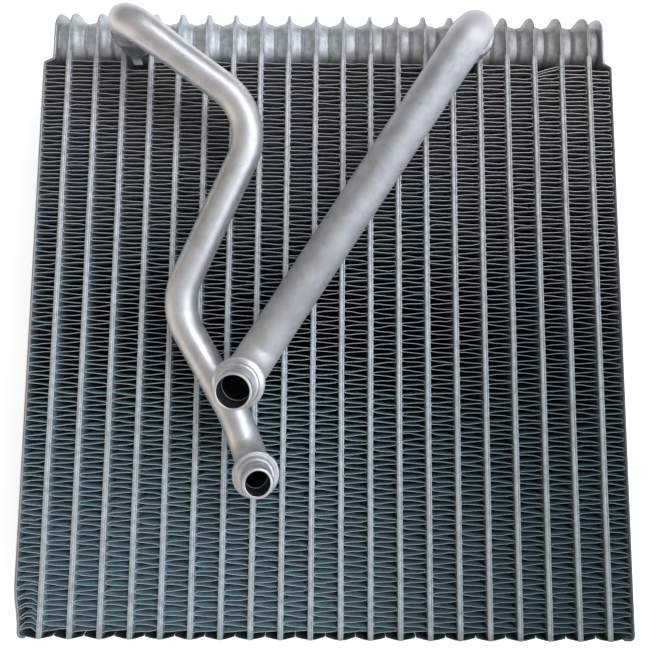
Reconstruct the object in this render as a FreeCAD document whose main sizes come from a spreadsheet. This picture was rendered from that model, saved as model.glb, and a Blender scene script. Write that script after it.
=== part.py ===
# Evaporator core of a vehicle's cooling system: stamped plate pairs with drawn cups at one end,
# folded fins between them, two end plates and two pipes that run across the front.
# It lies on its back: X is its width, +Y points to the tank end and the front faces +Z.
import FreeCAD, Part
import math
import os
import Sketcher

# Driving sizes in millimetres, angles in degrees
SIZES = (
    ("tube_count", 20, "plate pairs side by side"),
    ("tube_pitch", 12.0, "from one plate pair to the next"),
    ("tube_thickness", 2.3, "outside, over a pair of plates below the tank"),
    ("core_depth", 58.0, "front to back"),
    ("core_height", 239.6, "bottom end of the plates to the tank"),
    ("tank_height", 25.0, "part of each plate that stands above the fins"),
    ("plate_sheet", 0.6, "sheet of one plate"),
    ("flange_corner", 11.0, "round corner of a plate at the tank end"),
    ("strip_overlap", 5.0, "reach of the thick strip into the tank end"),
    ("cup_margin_top", 4.0, "flange that stands out above the cups"),
    ("cup_margin_side", 2.5, "flange that stands out in front of and behind the cups"),
    ("cup_lift", 0.9, "cups above the top of the fins"),
    ("cup_bevel", 6.0, "bevelled corner of a cup"),
    ("cup_draft", 11.0, "draft of a drawn cup"),
    ("saddle_width", 9.0, "valley between the front and the rear row of cups"),
    ("saddle_depth", 4.5, "depth of that valley"),
    ("foot_reach", 4.7, "lip at a plate's bottom end, sideways"),
    ("foot_rise", 1.5, "how far the lip climbs"),
    ("foot_sheet", 0.7, "thickness of the lip"),
    ("fin_legs", 34, "legs of one folded fin"),
    ("fin_sheet", 0.3, "fin strip"),
    ("fin_recess", 0.6, "fins behind the edges of the plates"),
    ("fin_gap", 0.1, "fold to the wall beside it"),
    ("fin_end_gap", 0.4, "fin to the lip below and the cups above"),
    ("port_fin_drop", 3.0, "fins under a port start this much lower"),
    ("left_fin_room", 8.8, "room for the outermost fin on the left"),
    ("right_fin_room", 7.8, "room for the outermost fin on the right"),
    ("end_sheet", 1.1, "sheet of an end plate"),
    ("joggle_top", 0.5, "start of the joggle above the fins"),
    ("joggle_height", 2.0, "height of the joggle"),
    ("lip_gap", 0.4, "lip that an end plate turns in at the bottom, to the lip of the outer pair"),
    ("pinch_height", 20.0, "height of the dented corner on the left"),
    ("pinch_depth", 2.0, "how far that corner is pushed in"),
    ("port_lift", 7.8, "centre of a port above the fins"),
    ("inlet_port_index", 3, "gap between plate pairs that takes the inlet port"),
    ("outlet_port_index", 15, "gap between plate pairs that takes the outlet port"),
    ("boss_gap", 0.3, "boss to the flanges beside and behind it"),
    ("boss_height", 11.4, "shank of a boss along the height"),
    ("boss_wall", 2.0, "wall of a boss round its pipe"),
    ("inlet_sleeve", 13.5, "height of the round part of the inlet's boss"),
    ("outlet_sleeve", 11.0, "height of the round part of the outlet's boss"),
    ("socket_depth", 4.0, "how far a pipe stands in its boss"),
    ("tongue_reach", 4.0, "locating tongue of a boss below its shank"),
    ("tongue_sheet", 0.8, "thickness of the tongue"),
    ("tongue_width", 3.9, "width of the tongue"),
    ("tongue_start", -3.3, "left edge of the tongue at its root, from the middle of the boss"),
    ("tongue_slant", 1.8, "how far the tongue runs to the right"),
    ("tongue_setback", 1.6, "front of the tongue behind the flanges' edges"),
    ("braze_gap", 0.1, "pipe to the wall of its socket"),
    ("inlet_diameter", 12.7, "outside of the inlet pipe"),
    ("outlet_diameter", 15.9, "outside of the outlet pipe"),
    ("bore_depth", 16.0, "straight bore below a pipe's rim"),
    ("inlet_top_rise", 30.6, "top of the inlet pipe's axis in front of the core"),
    ("outlet_top_rise", 26.8, "top of the outlet pipe's axis in front of the core"),
    ("inlet_face_gap", 2.9, "inlet pipe to the core at its lower end"),
    ("outlet_face_gap", 5.4, "outlet pipe to the core at its lower end"),
    ("inlet_elbow_x", -27.2, "upper elbow of the inlet pipe from the middle"),
    ("inlet_elbow_drop", 31.0, "that elbow below the top of the fins"),
    ("inlet_elbow_rise", 18.5, "that elbow in front of the core"),
    ("inlet_knee_x", -62.1, "lower elbow of the inlet pipe from the middle"),
    ("inlet_knee_drop", 107.3, "that elbow below the top of the fins"),
    ("inlet_knee_rise", 11.5, "that elbow in front of the core"),
    ("inlet_turn_x", -37.4, "slight turn of the inlet pipe from the middle"),
    ("inlet_turn_drop", 149.2, "that turn below the top of the fins"),
    ("inlet_foot_x", -29.4, "end of the inlet pipe's run from the middle"),
    ("inlet_foot_drop", 168.5, "that end below the top of the fins"),
    ("crossing_offset", 12.5, "axis of the outlet's end beside the inlet's lower run"),
    ("crossing_along", 37.5, "that axis along the inlet's lower run, from its elbow"),
    ("inlet_top_bend", 11.0, "radius of the inlet pipe's bend at its port"),
    ("outlet_top_bend", 13.0, "radius of the outlet pipe's bend at its port"),
    ("end_bend", 13.5, "radius of the bends at the open ends"),
    ("elbow_bend", 23.5, "radius of the elbows between"),
    ("turn_bend", 60.0, "radius of the slight turn"),
    ("inlet_seat", 17.5, "collar of the inlet's open end above the pipe's run"),
    ("outlet_seat", 17.0, "collar of the outlet's open end above the pipe's run"),
    ("inlet_lean", 9.0, "lean of the inlet's open end to the right"),
    ("inlet_dip", 3.3, "lean of the inlet's open end away from the tank"),
    ("outlet_lean", -2.5, "lean of the outlet's open end to the right"),
    ("outlet_dip", 9.5, "lean of the outlet's open end away from the tank"),
    ("collar_height", 2.8, "collar upset round an open end"),
    ("collar_bevel", 0.8, "bevel on top of the collar"),
    ("step_height", 1.8, "second ring on top of the collar"),
    ("nose_length", 9.0, "nose of an open end above its rings"),
    ("nose_bevel", 0.5, "lead-in round the rim of the nose"),
    ("inlet_collar", 17.4, "across the inlet's collar"),
    ("inlet_step", 13.8, "across the inlet's second ring"),
    ("inlet_nose", 11.5, "across the inlet's nose"),
    ("inlet_bore", 8.8, "bore of the inlet's nose"),
    ("outlet_collar", 19.7, "across the outlet's collar"),
    ("outlet_step", 17.2, "across the outlet's second ring"),
    ("outlet_nose", 14.2, "across the outlet's nose"),
    ("outlet_bore", 11.8, "bore of the outlet's nose"),
)

# Places that several pieces share, as formulas over the sheet
BOTTOM = "(-(sizes.core_height + sizes.tank_height) / 2)"
FIN_TOP = "((sizes.core_height - sizes.tank_height) / 2)"
TOP = "((sizes.core_height + sizes.tank_height) / 2)"
FRONT = "sizes.core_depth"
HALF_TUBE = "(sizes.tube_thickness / 2)"
OUTER_TUBE = "(sizes.tube_pitch * (sizes.tube_count - 1) / 2)"
TANK_END = "(sizes.tube_pitch * sizes.tube_count / 2)"
PORT_Y = f"({FIN_TOP} + sizes.port_lift)"
RIM = "(sizes.collar_height + sizes.step_height + sizes.nose_length)"
UP = FreeCAD.Vector(0, 0, 1)

doc = FreeCAD.newDocument("evaporator_core")
sheet = doc.addObject("Spreadsheet::Sheet", "sizes")
nodes = []


def fill_sheet():
    """Write each driving size with its alias and its meaning."""
    for row, (alias, number, meaning) in enumerate(SIZES, start=1):
        sheet.set(f"A{row}", alias)
        sheet.set(f"B{row}", str(number))
        sheet.setAlias(f"B{row}", alias)
        sheet.set(f"C{row}", meaning)
    doc.recompute()


def value(text):
    """Number that a formula over the sheet gives."""
    result = sheet.evalExpression(text)
    return float(getattr(result, "Value", result))


def add_node(item, label):
    """Name a finished sub-part and keep it for the checks and the export."""
    item.Label = label
    nodes.append(item)
    return item


def sketch_on(body, name, role):
    """Sketch on one of the body's own origin planes."""
    sketch = body.newObject("Sketcher::SketchObject", name)
    plane = next(item for item in body.Origin.OriginFeatures if item.Role == role)
    sketch.AttachmentSupport = [(plane, "")]
    sketch.MapMode = "FlatFace"
    return sketch


def bind(sketch, index, name, formula):
    """Name a constraint and tie it to its formula."""
    sketch.renameConstraint(index, name)
    sketch.setExpression(f"Constraints.{name}", formula)


def place_point(sketch, geometry, end, corner, name):
    """Hold one point of a sketch at a corner's two formulas."""
    for kind, formula in (("DistanceX", corner[0]), ("DistanceY", corner[1])):
        limit = Sketcher.Constraint(kind, -1, 1, geometry, end, value(formula))
        bind(sketch, sketch.addConstraint(limit), f"{name}_{kind[-1].lower()}", formula)


def rounded_ends(before, corner, after, radius):
    """Where a round corner leaves its two straight sides, with the middle of its arc."""
    back = (before - corner).normalize()
    ahead = (after - corner).normalize()
    half = back.getAngle(ahead) / 2
    reach = radius / math.tan(half)
    inward = (back + ahead).normalize()
    middle = corner + inward * (radius / math.sin(half) - radius)
    return corner + back * reach, middle, corner + ahead * reach


def outline(sketch, corners):
    """Closed outline through corners (x, y, radius); a radius of None is a sharp corner."""
    places = [FreeCAD.Vector(value(x), value(y), 0) for x, y, _ in corners]
    count = len(corners)
    arrive, leave, arcs = list(places), list(places), {}
    for i, (_, _, radius) in enumerate(corners):
        if radius is None:
            continue
        ends = rounded_ends(places[i - 1], places[i], places[(i + 1) % count], value(radius))
        arrive[i], middle, leave[i] = ends
        arcs[i] = Part.Arc(arrive[i], middle, leave[i])
    for i in range(count):
        sketch.addGeometry(Part.LineSegment(leave[i], arrive[(i + 1) % count]), False)
    for i, (x, y, radius) in enumerate(corners):
        before = (i - 1) % count
        if radius is None:
            sketch.addConstraint(Sketcher.Constraint("Coincident", before, 2, i, 1))
            place_point(sketch, i, 1, (x, y), f"corner_{i}")
            continue
        arc = sketch.addGeometry(arcs[i], False)
        point = sketch.addGeometry(Part.Point(places[i]), True)
        turns_left = (arrive[i] - places[i]).cross(leave[i] - places[i]).z < 0
        first, second = (1, 2) if turns_left else (2, 1)
        sketch.addConstraint(Sketcher.Constraint("Tangent", before, 2, arc, first))
        sketch.addConstraint(Sketcher.Constraint("Tangent", arc, second, i, 1))
        sketch.addConstraint(Sketcher.Constraint("PointOnObject", point, 1, before))
        sketch.addConstraint(Sketcher.Constraint("PointOnObject", point, 1, i))
        place_point(sketch, point, 1, (x, y), f"corner_{i}")
        limit = Sketcher.Constraint("Radius", arc, value(radius))
        bind(sketch, sketch.addConstraint(limit), f"radius_{i}", radius)


def circle(sketch, centre, diameter):
    """Circle at a centre given by two formulas."""
    at = FreeCAD.Vector(value(centre[0]), value(centre[1]), 0)
    ring = sketch.addGeometry(Part.Circle(at, UP, value(diameter) / 2), False)
    place_point(sketch, ring, 3, centre, "centre")
    limit = Sketcher.Constraint("Diameter", ring, value(diameter))
    bind(sketch, sketch.addConstraint(limit), "across", diameter)


def pad(body, name, sketch, length, start=None):
    """Pad of a sketch along its normal, from a plane moved along that normal."""
    if start is not None:
        sketch.setExpression("AttachmentOffset.Base.z", start)
    feature = body.newObject("PartDesign::Pad", name)
    feature.Profile = sketch
    feature.setExpression("Length", length)
    return feature


def two_sided_pad(body, name, sketch, length, draft=None):
    """Pad of a sketch to both sides of its plane, with an optional draft."""
    feature = body.newObject("PartDesign::Pad", name)
    feature.Profile = sketch
    feature.SideType = "Two sides"
    for side in ("", "2"):
        feature.setExpression(f"Length{side}", length)
        if draft is not None:
            feature.setExpression(f"TaperAngle{side}", draft)
    return feature


def make_tube(index):
    """Brazed plate pair: a flat tube with lips below and four drawn cups in the tank end."""
    label = f"tube_{index + 1:02d}"
    body = doc.addObject("PartDesign::Body", label)
    lip_x = f"({HALF_TUBE} + sizes.foot_reach)"
    lip_y = f"({BOTTOM} + sizes.foot_rise)"
    strip_top = f"({FIN_TOP} + sizes.strip_overlap)"
    strip = sketch_on(body, f"{label}_strip_sketch", "XY_Plane")
    outline(strip, [
        (f"-{HALF_TUBE}", BOTTOM, None),
        (HALF_TUBE, BOTTOM, None),
        (lip_x, lip_y, None),
        (lip_x, f"{lip_y} + sizes.foot_sheet", None),
        (HALF_TUBE, f"{BOTTOM} + sizes.foot_sheet", None),
        (HALF_TUBE, strip_top, None),
        (f"-{HALF_TUBE}", strip_top, None),
        (f"-{HALF_TUBE}", f"{BOTTOM} + sizes.foot_sheet", None),
        (f"-{lip_x}", f"{lip_y} + sizes.foot_sheet", None),
        (f"-{lip_x}", lip_y, None),
    ])
    pad(body, f"{label}_strip", strip, FRONT)
    flange = sketch_on(body, f"{label}_flange_sketch", "YZ_Plane")
    outline(flange, [
        (FIN_TOP, "0", None),
        (TOP, "0", "sizes.flange_corner"),
        (TOP, FRONT, "sizes.flange_corner"),
        (FIN_TOP, FRONT, None),
    ])
    two_sided_pad(body, f"{label}_flange", flange, "sizes.plate_sheet")
    cups = sketch_on(body, f"{label}_cups_sketch", "YZ_Plane")
    cup_top = f"({TOP} - sizes.cup_margin_top)"
    cup_front = f"({FRONT} - sizes.cup_margin_side)"
    middle = f"({FRONT} / 2)"
    outline(cups, [
        (f"{FIN_TOP} + sizes.cup_lift", "sizes.cup_margin_side", None),
        (f"{cup_top} - sizes.cup_bevel", "sizes.cup_margin_side", None),
        (cup_top, "sizes.cup_margin_side + sizes.cup_bevel", None),
        (cup_top, f"{middle} - sizes.saddle_width / 2", None),
        (f"{cup_top} - sizes.saddle_depth", middle, None),
        (cup_top, f"{middle} + sizes.saddle_width / 2", None),
        (cup_top, f"{cup_front} - sizes.cup_bevel", None),
        (f"{cup_top} - sizes.cup_bevel", cup_front, None),
        (f"{FIN_TOP} + sizes.cup_lift", cup_front, None),
    ])
    two_sided_pad(body, f"{label}_cups", cups, "sizes.tube_pitch / 2", "-sizes.cup_draft")
    body.setExpression("Placement.Base.x", f"sizes.tube_pitch * {index} - {OUTER_TUBE}")
    add_node(body, label)


def fin_outline(left_wall, right_wall, low, high):
    """Face of a folded strip that touches the left and right walls in turn."""
    legs = int(value("sizes.fin_legs"))
    rise = (high - low) / legs
    run = right_wall(low) - left_wall(high)
    slant = FreeCAD.Vector(value("sizes.fin_sheet") * math.hypot(run, rise) / rise, 0, 0)
    folds = []
    for i in range(legs + 1):
        level = low + i * rise
        wall = left_wall(level) if i % 2 == 0 else right_wall(level) - slant.x
        folds.append(FreeCAD.Vector(wall, level, 0))
    loop = folds + [fold + slant for fold in reversed(folds)]
    return Part.Face(Part.makePolygon(loop + loop[:1]))


def make_fin(index):
    """Serpentine fin between two plate pairs, or between an outer pair and its end plate."""
    label = f"fin_{index + 1:02d}"
    last = int(value("sizes.tube_count"))
    gap = value("sizes.fin_gap")
    room = value("sizes.tube_pitch - sizes.tube_thickness")
    left = value(f"sizes.tube_pitch * {index - 1} - {OUTER_TUBE} + {HALF_TUBE}") + gap
    right = left + room - 2 * gap
    low = value(f"{BOTTOM} + sizes.foot_rise + sizes.foot_sheet + sizes.fin_end_gap")
    high = value(f"{FIN_TOP} - sizes.fin_end_gap")
    if index in (int(value("sizes.inlet_port_index")), int(value("sizes.outlet_port_index"))):
        high -= value("sizes.port_fin_drop")
    if index in (0, last):
        high = value(f"{FIN_TOP} + sizes.joggle_top - sizes.joggle_height - sizes.fin_end_gap")
    if index == 0:
        left = right - value("sizes.left_fin_room") + 2 * gap
    if index == last:
        right = left + value("sizes.right_fin_room") - 2 * gap

    def left_wall(level):
        dent = value(f"{BOTTOM} + sizes.pinch_height") - level
        if index > 0 or dent < 0:
            return left
        return left + dent * value("sizes.pinch_depth / sizes.pinch_height")

    profile = doc.addObject("Part::Feature", f"{label}_outline")
    profile.Shape = fin_outline(left_wall, lambda level: right, low, high)
    profile.Placement.Base = FreeCAD.Vector(0, 0, value("sizes.fin_recess"))
    fin = doc.addObject("Part::Extrusion", label)
    fin.Base = profile
    fin.DirMode = "Custom"
    fin.Dir = UP
    fin.Solid = True
    fin.setExpression("LengthFwd", f"{FRONT} - 2 * sizes.fin_recess")
    add_node(fin, label)


def edges_along_x_at(shape, level):
    """Names of the edges that run along X at one height."""
    found = []
    for number, edge in enumerate(shape.Edges, start=1):
        ends = [vertex.Point for vertex in edge.Vertexes]
        along = len(ends) == 2 and abs(ends[0].y - ends[1].y) < 1e-6 and abs(ends[0].z - ends[1].z) < 1e-6
        if along and abs(ends[0].y - level) < 1e-6:
            found.append(f"Edge{number}")
    return found


def make_end_plate(label, side, room, pinch):
    """Sheet that closes one end: flat on the cups, a joggle, then straight along the last fin."""
    body = doc.addObject("PartDesign::Body", label)
    inside = f"({OUTER_TUBE} + {HALF_TUBE} + {room})"
    bent_top = f"({FIN_TOP} + sizes.joggle_top)"
    bent_low = f"({bent_top} - sizes.joggle_height)"
    corner = f"({BOTTOM} + sizes.pinch_height)"
    lip = f"({OUTER_TUBE} + {HALF_TUBE} + sizes.foot_reach + sizes.lip_gap)"
    slope = "(sizes.end_sheet / 2)"
    profile = sketch_on(body, f"{label}_sketch", "XY_Plane")
    corners = [
        (TANK_END, TOP),
        (TANK_END, bent_top),
        (inside, bent_low),
        (inside, corner),
        (f"{inside} - {pinch}", f"{BOTTOM} + sizes.end_sheet"),
        (lip, f"{BOTTOM} + sizes.end_sheet"),
        (lip, BOTTOM),
        (f"{inside} - {pinch} + sizes.end_sheet", BOTTOM),
        (f"{inside} + sizes.end_sheet", corner),
        (f"{inside} + sizes.end_sheet", f"{bent_low} + {slope}"),
        (f"{TANK_END} + sizes.end_sheet", f"{bent_top} + {slope}"),
        (f"{TANK_END} + sizes.end_sheet", TOP),
    ]
    outline(profile, [(f"{side} * ({x})", y, None) for x, y in corners])
    bent = pad(body, f"{label}_sheet", profile, FRONT)
    doc.recompute()
    rounds = body.newObject("PartDesign::Fillet", f"{label}_corners")
    rounds.Base = (bent, edges_along_x_at(bent.Shape, value(TOP)))
    rounds.setExpression("Radius", "sizes.flange_corner")
    add_node(body, label)


def port_place(name):
    """Formula for the middle of the gap that takes a port."""
    return f"(sizes.tube_pitch * (sizes.{name}_port_index - sizes.tube_count / 2))"


def make_boss(name):
    """Nozzle block between two flanges: shank, round sleeve with a socket and a locating tongue."""
    label = f"{name}_boss"
    body = doc.addObject("PartDesign::Body", label)
    half_width = f"(sizes.tube_pitch / 2 - {HALF_TUBE} - sizes.boss_gap)"
    base = f"({FRONT} - sizes.cup_margin_side)"
    sleeve_base = f"({FRONT} + sizes.boss_gap)"
    shank_low = f"({PORT_Y} - sizes.boss_height / 2)"
    shank_high = f"({PORT_Y} + sizes.boss_height / 2)"
    shank = sketch_on(body, f"{label}_shank_sketch", "XY_Plane")
    outline(shank, [
        (f"-{half_width}", shank_low, None),
        (half_width, shank_low, None),
        (half_width, shank_high, None),
        (f"-{half_width}", shank_high, None),
    ])
    pad(body, f"{label}_shank", shank, f"{sleeve_base} - {base}", base)
    sleeve = sketch_on(body, f"{label}_sleeve_sketch", "XY_Plane")
    circle(sleeve, ("0", PORT_Y), f"sizes.{name}_diameter + 2 * sizes.boss_wall")
    pad(body, f"{label}_sleeve", sleeve, f"sizes.{name}_sleeve", sleeve_base)
    tongue = sketch_on(body, f"{label}_tongue_sketch", "XY_Plane")
    root = f"{shank_low} + sizes.tongue_sheet"
    tip = f"{shank_low} - sizes.tongue_reach"
    left = "sizes.tongue_start"
    right = "(sizes.tongue_start + sizes.tongue_width)"
    outline(tongue, [
        (left, root, None),
        (f"{left} + sizes.tongue_slant", tip, None),
        (f"{right} + sizes.tongue_slant", tip, None),
        (right, root, None),
    ])
    pad(body, f"{label}_tongue", tongue, "sizes.tongue_sheet", f"{FRONT} - sizes.tongue_setback")
    socket = sketch_on(body, f"{label}_socket_sketch", "XY_Plane")
    circle(socket, ("0", PORT_Y), f"sizes.{name}_diameter + 2 * sizes.braze_gap")
    socket.setExpression("AttachmentOffset.Base.z", f"{sleeve_base} + sizes.{name}_sleeve")
    cut = body.newObject("PartDesign::Pocket", f"{label}_socket")
    cut.Profile = socket
    cut.setExpression("Length", "sizes.socket_depth")
    body.setExpression("Placement.Base.x", port_place(name))
    add_node(body, label)


def bent_path(points, radii):
    """Wire of straight runs joined by tangent arcs at the inner points."""
    edges = []
    start = points[0]
    for before, corner, after, radius in zip(points, points[1:], points[2:], radii):
        arrive, middle, leave = rounded_ends(before, corner, after, radius)
        edges.append(Part.LineSegment(start, arrive).toShape())
        edges.append(Part.Arc(arrive, middle, leave).toShape())
        start = leave
    edges.append(Part.LineSegment(start, points[-1]).toShape())
    return Part.Wire(edges)


def make_open_end(name, seat, direction):
    """Upset end of a pipe: bevelled collar, second ring and a nose with a lead-in."""
    body = doc.addObject("PartDesign::Body", f"{name}_end")
    profile = sketch_on(body, f"{name}_end_sketch", "XZ_Plane")
    nose = f"(sizes.{name}_nose / 2)"
    step = f"(sizes.{name}_step / 2)"
    collar = f"(sizes.{name}_collar / 2)"
    step_low = "sizes.collar_height"
    step_high = f"({step_low} + sizes.step_height)"
    outline(profile, [
        ("0", "0", None),
        (collar, "0", None),
        (collar, f"{step_low} - sizes.collar_bevel", None),
        (f"{collar} - sizes.collar_bevel", step_low, None),
        (step, step_low, None),
        (step, step_high, None),
        (nose, step_high, None),
        (nose, f"{RIM} - sizes.nose_bevel", None),
        (f"{nose} - sizes.nose_bevel", RIM, None),
        ("0", RIM, None),
    ])
    turn = body.newObject("PartDesign::Revolution", f"{name}_end_turn")
    turn.Profile = profile
    turn.ReferenceAxis = (profile, ["V_Axis"])
    turn.Angle = 360
    body.Placement = FreeCAD.Placement(seat, FreeCAD.Rotation(UP, direction))
    return body


def make_pipe(name, points, radii, direction):
    """Bent pipe swept along its path, joined to its upset end and bored from the rim."""
    seat = points[-1] + direction * value(f"sizes.{name}_seat")
    points = points + [seat + direction * value("sizes.collar_height / 2")]
    path = doc.addObject("Part::Feature", f"{name}_path")
    path.Shape = bent_path(points, radii)
    ring = doc.addObject("Part::Circle", f"{name}_ring")
    ring.setExpression("Radius", f"sizes.{name}_diameter / 2")
    ring.Placement = FreeCAD.Placement(points[0], FreeCAD.Rotation(UP, points[1] - points[0]))
    sweep = doc.addObject("Part::Sweep", f"{name}_sweep")
    sweep.Sections = [ring]
    sweep.Spine = (path, [f"Edge{i + 1}" for i in range(len(path.Shape.Edges))])
    sweep.Solid = True
    sweep.Frenet = False
    joined = doc.addObject("Part::Fuse", f"{name}_joined")
    joined.Base = sweep
    joined.Tool = make_open_end(name, seat, direction)
    drill = doc.addObject("Part::Cylinder", f"{name}_drill")
    drill.setExpression("Radius", f"sizes.{name}_bore / 2")
    drill.setExpression("Height", "sizes.bore_depth")
    drill.Placement = FreeCAD.Placement(seat + direction * value(RIM), FreeCAD.Rotation(UP, -direction))
    pipe = doc.addObject("Part::Cut", f"{name}_pipe")
    pipe.Base = joined
    pipe.Tool = drill
    add_node(pipe, f"{name}_pipe")


def point(x, drop, rise):
    """Point of a pipe's axis from the middle, below the top of the fins and before the core."""
    return FreeCAD.Vector(value(x), value(f"{FIN_TOP} - {drop}"), value(f"{FRONT} + {rise}"))


def lean(sideways, away):
    """Direction out of the core's face, leaning to the right and away from the tank."""
    return FreeCAD.Vector(math.tan(math.radians(sideways)), -math.tan(math.radians(away)), 1).normalize()


def socket_floor(name):
    """Formula for the floor of a boss's socket before the core."""
    return f"sizes.boss_gap + sizes.{name}_sleeve - sizes.socket_depth"


def make_plumbing():
    """Both pipes with their bosses."""
    inlet_low = "sizes.inlet_diameter / 2 + sizes.inlet_face_gap"
    knee = point("sizes.inlet_knee_x", "sizes.inlet_knee_drop", "sizes.inlet_knee_rise")
    turn = point("sizes.inlet_turn_x", "sizes.inlet_turn_drop", inlet_low)
    inlet = [
        point(port_place("inlet"), "-sizes.port_lift", socket_floor("inlet")),
        point(port_place("inlet"), "-sizes.port_lift", "sizes.inlet_top_rise"),
        point("sizes.inlet_elbow_x", "sizes.inlet_elbow_drop", "sizes.inlet_elbow_rise"),
        knee,
        turn,
        point("sizes.inlet_foot_x", "sizes.inlet_foot_drop", inlet_low),
    ]
    run = turn - knee
    run.z = 0
    run.normalize()
    beside = FreeCAD.Vector(-run.y, run.x, 0)
    crossing = knee + run * value("sizes.crossing_along") + beside * value("sizes.crossing_offset")
    crossing.z = value(f"{FRONT} + sizes.outlet_diameter / 2 + sizes.outlet_face_gap")
    outlet = [
        point(port_place("outlet"), "-sizes.port_lift", socket_floor("outlet")),
        point(port_place("outlet"), "-sizes.port_lift", "sizes.outlet_top_rise"),
        crossing,
    ]
    elbow, slight = value("sizes.elbow_bend"), value("sizes.turn_bend")
    for name, points, between in (("inlet", inlet, [elbow, elbow, slight]), ("outlet", outlet, [])):
        radii = [value(f"sizes.{name}_top_bend")] + between + [value("sizes.end_bend")]
        make_boss(name)
        make_pipe(name, points, radii, lean(value(f"sizes.{name}_lean"), value(f"sizes.{name}_dip")))


def check_and_write():
    """Stop at a failed object, then write each sub-part as its own STEP file."""
    doc.recompute()
    for item in doc.Objects:
        if "Invalid" in item.State or "Error" in item.State:
            raise RuntimeError(f"{item.Label} failed: {item.State}")
    for item in nodes:
        if item.Shape.isNull() or not item.Shape.isValid():
            raise RuntimeError(f"{item.Label} has no valid shape")
    os.makedirs("parts", exist_ok=True)
    for item in nodes:
        item.Shape.exportStep(os.path.join("parts", f"{item.Label}.step"))
        print(item.Label, len(item.Shape.Solids), round(item.Shape.Volume, 1))


fill_sheet()
for tube in range(int(value("sizes.tube_count"))):
    make_tube(tube)
for fin in range(int(value("sizes.tube_count")) + 1):
    make_fin(fin)
make_end_plate("end_plate_left", -1, "sizes.left_fin_room", "sizes.pinch_depth")
make_end_plate("end_plate_right", 1, "sizes.right_fin_room", "0")
make_plumbing()
check_and_write()
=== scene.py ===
"""Visual model of an evaporator core that lies on its back.

Sizes are in millimetres in the row frame (X to the right, Y along the tubes to the tank end,
Z out of the front face) and become metres when a mesh is made.
"""
import logging
from dataclasses import dataclass
from enum import Enum

import bpy
import numpy as np
from mathutils import Matrix, Vector


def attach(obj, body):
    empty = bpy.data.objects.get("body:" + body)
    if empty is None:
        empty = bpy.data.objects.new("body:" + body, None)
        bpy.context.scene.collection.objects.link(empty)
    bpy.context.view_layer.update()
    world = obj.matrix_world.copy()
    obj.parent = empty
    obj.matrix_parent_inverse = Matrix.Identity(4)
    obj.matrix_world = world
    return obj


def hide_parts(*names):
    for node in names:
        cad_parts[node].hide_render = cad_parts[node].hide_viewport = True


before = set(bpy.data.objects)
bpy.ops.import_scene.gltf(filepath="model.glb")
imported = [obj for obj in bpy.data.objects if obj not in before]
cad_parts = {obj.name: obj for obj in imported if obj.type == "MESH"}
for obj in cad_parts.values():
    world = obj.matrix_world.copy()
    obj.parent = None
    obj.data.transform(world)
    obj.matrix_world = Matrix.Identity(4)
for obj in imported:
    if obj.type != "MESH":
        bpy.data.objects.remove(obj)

LOG = logging.getLogger("evaporator_core")
MM = 0.001
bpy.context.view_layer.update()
# Where the dent in the lower left corner starts, and how far below that it is at its deepest.
DENT = (-112.3, 17.0)

Array = np.ndarray
Pair = tuple[float, float]
Triple = tuple[float, float, float]
Tree = bpy.types.NodeTree
Socket = bpy.types.NodeSocket
Material = bpy.types.Material


class Side(Enum):
    """The two sides of the core, as the sign of X."""

    LEFT = -1
    RIGHT = 1


class Slot(Enum):
    """The record's material slots."""

    PLATE = "plate_aluminium"
    FIN = "fin_aluminium"
    END_PLATE = "end_plate_aluminium"
    PIPE = "pipe_aluminium"
    BOSS = "boss_aluminium"


# Meshes

def unit(vectors: Array) -> Array:
    """Each vector along the last axis, divided by its length."""
    return vectors / np.linalg.norm(vectors, axis=-1, keepdims=True)


def smooth_step(value: Array) -> Array:
    """0 below 0, 1 above 1, and 3t^2 - 2t^3 between."""
    t = np.clip(value, 0.0, 1.0)
    return t * t * (3.0 - 2.0 * t)


def softened(values: Array) -> Array:
    """The mean of each five neighbours, so four values fewer."""
    return np.convolve(values, np.ones(5) / 5.0, "valid")


def below(value: Array, top: float, run: float) -> Array:
    """0 above top, 1 below top - run, and a smooth step between."""
    return smooth_step((top - value) / run)


def spread(x: Array, y: Array, z: Array) -> Array:
    """Points as (rows, columns, 3), from coordinates that are spread over one common shape."""
    return np.stack(np.broadcast_arrays(x, y, z), -1)


def side_normals(path: Array) -> Array:
    """The unit normals on the left of a path in XY."""
    along = np.gradient(path, axis=0)
    return unit(np.stack([-along[:, 1], along[:, 0]], 1))


def rounded_outline(corners: list[Triple], steps: int) -> tuple[Array, Array]:
    """A closed outline of straight runs joined by arcs.

    Each corner becomes an arc that touches both of its runs: its centre lies on the bisector at
    radius / sin(half the inner angle), and the arc turns from one run's normal to the other's.

    Args:
        corners: (u, v, radius) of each corner, counter-clockwise.
        steps: spans of each arc.
    Returns:
        The points and the outward normals, each as (n, 2).
    """
    data = np.array(corners, float)
    here, radius = data[:, :2], data[:, 2]
    before = unit(here - np.roll(here, 1, 0))
    after = unit(np.roll(here, -1, 0) - here)
    turn = before[:, 0] * after[:, 1] - before[:, 1] * after[:, 0]
    angle = np.arctan2(turn, (before * after).sum(1))
    reach = radius * np.tan(np.abs(angle) / 2.0)
    sign = np.sign(turn)
    inward = np.stack([-before[:, 1], before[:, 0]], 1) * sign[:, None]
    centre = here - before * reach[:, None] + inward * radius[:, None]
    first = np.arctan2(-inward[:, 1], -inward[:, 0])
    along = first[:, None] + angle[:, None] * np.linspace(0.0, 1.0, steps + 1)
    spoke = np.stack([np.cos(along), np.sin(along)], -1)
    points = centre[:, None, :] + spoke * radius[:, None, None]
    normals = spoke * sign[:, None, None]
    return points.reshape(-1, 2), normals.reshape(-1, 2)


def inset_outlines(corners: list[Triple], steps: int, inset: Array) -> Array:
    """A rounded outline moved inwards by each inset, as (len(inset), n, 2)."""
    points, normals = rounded_outline(corners, steps)
    return points - normals * inset[:, None, None]


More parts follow.
